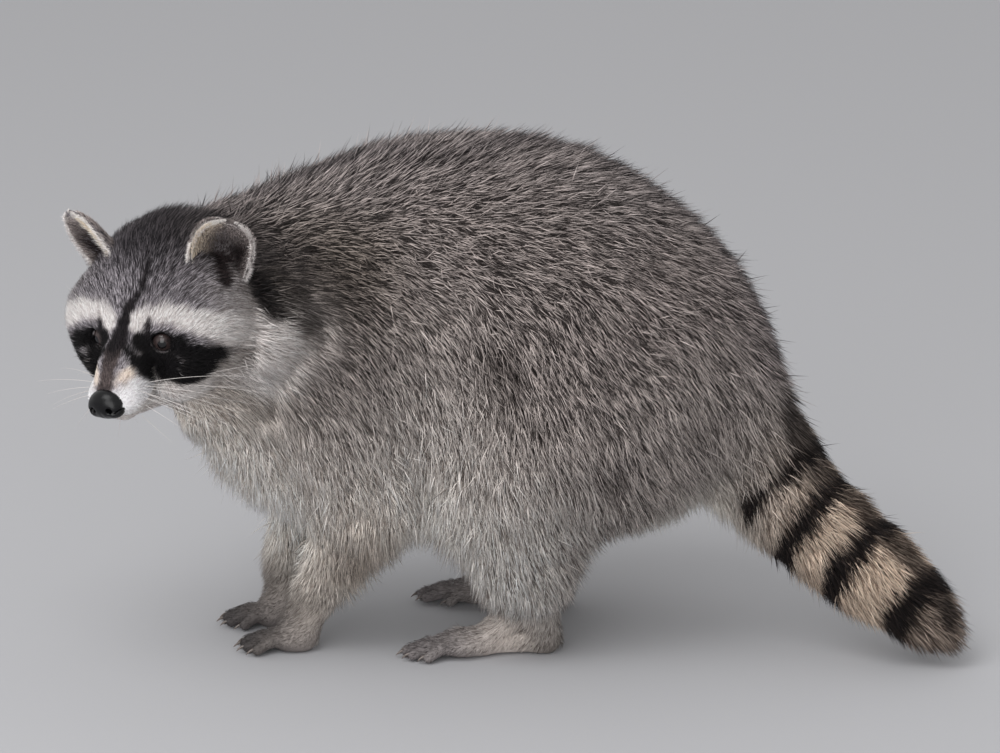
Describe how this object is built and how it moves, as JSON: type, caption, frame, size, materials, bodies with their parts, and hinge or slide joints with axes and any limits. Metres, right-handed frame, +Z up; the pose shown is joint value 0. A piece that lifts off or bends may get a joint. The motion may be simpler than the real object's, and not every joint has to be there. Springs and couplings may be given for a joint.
{
  "type": "raccoon",
  "caption": "Life-size standing raccoon in full coat: arched back, masked face turned to its left, ringed bushy tail trailing to the floor. A still display model.",
  "frame": {"origin": "on the floor, under the middle of the whole animal's box", "axes": "+X towards the tail, +Y to the animal's right, +Z up; it faces -X"},
  "size_m": [0.5914, 0.2696, 0.3455],
  "materials": {
    "grey_fur": "grizzled grey-brown guard hair, matt",
    "pale_fur": "long pale beige-grey hair, matt",
    "white_fur": "short white hair with a black mask and a grey stripe",
    "tail_fur": "bushy tan-grey hair with dark brown rings",
    "paw_skin": "dark grey skin under very short hair",
    "claw": "dark horn, satin",
    "eye": "dark brown eye, wet gloss",
    "nose": "black pebbled nose pad, moist"
  },
  "bodies": {
    "root": {"head": "grey_fur", "neck": "grey_fur", "chest": "grey_fur", "barrel": "grey_fur", "rump": "grey_fur", "muzzle": "white_fur", "lower_jaw": "white_fur", "eye_left": "eye", "ear_left": "white_fur", "upper_arm_left": "grey_fur", "forearm_left": "pale_fur", "forepaw_left": "paw_skin", "thigh_left": "grey_fur", "shin_left": "pale_fur", "hind_foot_left": "paw_skin", "forepaw_left_claw_1": "claw", "forepaw_left_claw_2": "claw", "forepaw_left_claw_3": "claw", "forepaw_left_claw_4": "claw", "forepaw_left_claw_5": "claw", "hind_foot_left_claw_1": "claw", "hind_foot_left_claw_2": "claw", "hind_foot_left_claw_3": "claw", "hind_foot_left_claw_4": "claw", "hind_foot_left_claw_5": "claw", "eye_right": "eye", "ear_right": "white_fur", "upper_arm_right": "grey_fur", "forearm_right": "pale_fur", "forepaw_right": "paw_skin", "thigh_right": "grey_fur", "shin_right": "pale_fur", "hind_foot_right": "paw_skin", "forepaw_right_claw_1": "claw", "forepaw_right_claw_2": "claw", "forepaw_right_claw_3": "claw", "forepaw_right_claw_4": "claw", "forepaw_right_claw_5": "claw", "hind_foot_right_claw_1": "claw", "hind_foot_right_claw_2": "claw", "hind_foot_right_claw_3": "claw", "hind_foot_right_claw_4": "claw", "hind_foot_right_claw_5": "claw", "nose": "nose", "tail_1": "tail_fur", "tail_2": "tail_fur", "tail_3": "tail_fur", "tail_4": "tail_fur", "tail_5": "tail_fur"}
  },
  "joints": []
}
